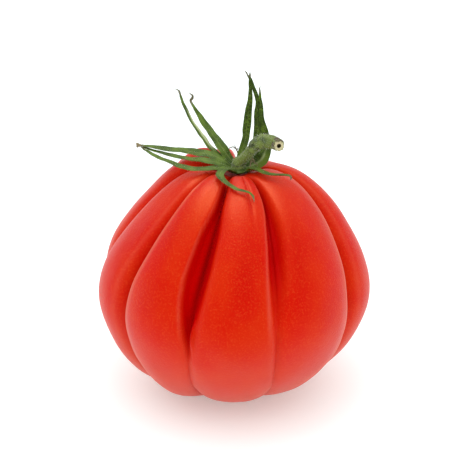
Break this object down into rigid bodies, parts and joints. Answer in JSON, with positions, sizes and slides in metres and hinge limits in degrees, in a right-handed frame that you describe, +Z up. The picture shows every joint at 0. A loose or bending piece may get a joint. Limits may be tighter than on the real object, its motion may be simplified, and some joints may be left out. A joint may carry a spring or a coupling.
{
  "type": "tomato",
  "caption": "Whole ribbed beefsteak tomato with a curling green calyx and a bent stub of stem, resting on the flat spot at its blossom end.",
  "frame": {"origin": "middle of the small flat spot at the blossom end that the fruit rests on", "axes": "+Z up towards the stem, -Y the side with the deep pleat, +X the side that the cut stem points to"},
  "size_m": [0.0895, 0.0896, 0.1081],
  "materials": {
    "skin": "taut satin skin with a soft gloss",
    "sepal_green": "matt leaf green, downy, with dried tips",
    "stem_green": "matt grey-green, downy, with a pale cut end"
  },
  "bodies": {
    "root": {"fruit": "skin", "calyx": "sepal_green", "stem": "stem_green"}
  },
  "joints": []
}
